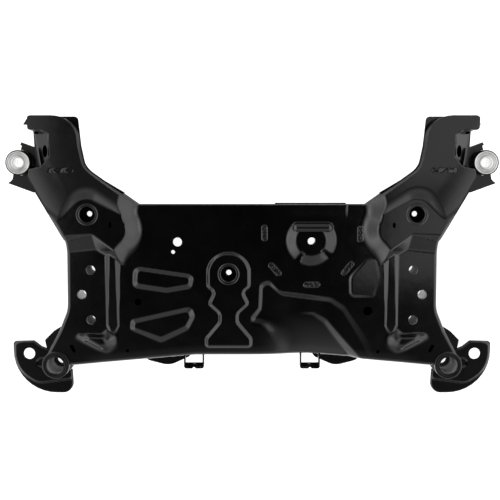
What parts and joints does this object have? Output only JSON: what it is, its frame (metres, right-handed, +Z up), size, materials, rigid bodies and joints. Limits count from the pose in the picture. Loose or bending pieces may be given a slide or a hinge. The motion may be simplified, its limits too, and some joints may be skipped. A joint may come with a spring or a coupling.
{
  "type": "front axle subframe",
  "caption": "Pressed and welded box-section front subframe with raised horns, bonded front bushes, rear bolt sleeves, flat ears, control arm and steering gear mountings.",
  "frame": {"origin": "midpoint between the two rear bolt holes, on the underside", "axes": "+X across the vehicle to the right of the picture, +Y towards the horns at the front, +Z up out of the pressed upper face"},
  "size_m": [0.982, 0.564, 0.1292],
  "materials": {
    "coated_steel": "satin black dip coat",
    "coated_weld": "black coat over a rough weld bead",
    "plated_steel": "bright zinc plate",
    "turned_steel": "turned, concentric lines",
    "bush_rubber": "matt black"
  },
  "bodies": {
    "root": {"upper_panel": "coated_steel", "lower_panel": "coated_steel", "left_horn_plate": "coated_steel", "right_horn_plate": "coated_steel", "left_bush_bracket": "coated_steel", "right_bush_bracket": "coated_steel", "left_bush_eye": "coated_steel", "right_bush_eye": "coated_steel", "left_bush_outer_sleeve": "plated_steel", "right_bush_outer_sleeve": "plated_steel", "left_bush_rubber": "bush_rubber", "right_bush_rubber": "bush_rubber", "left_bush_washers": "turned_steel", "right_bush_washers": "turned_steel", "left_bush_inner_sleeve": "plated_steel", "right_bush_inner_sleeve": "plated_steel", "left_rear_sleeve": "coated_steel", "right_rear_sleeve": "coated_steel", "left_rear_ear": "coated_steel", "right_rear_ear": "coated_steel", "left_rear_gusset": "coated_steel", "right_rear_gusset": "coated_steel", "left_front_arm_tube": "coated_steel", "right_front_arm_tube": "coated_steel", "left_middle_arm_tube": "coated_steel", "right_middle_arm_tube": "coated_steel", "left_rear_arm_tube": "coated_steel", "right_rear_arm_tube": "coated_steel", "left_gear_collar": "coated_steel", "right_gear_collar": "coated_steel", "centre_collar": "coated_steel", "dome_nut": "plated_steel", "reinforcing_plate": "coated_steel", "slot_welds": "coated_weld", "left_horn_weld": "coated_weld", "right_horn_weld": "coated_weld", "left_rear_strap": "coated_steel", "right_rear_strap": "coated_steel"}
  },
  "joints": []
}
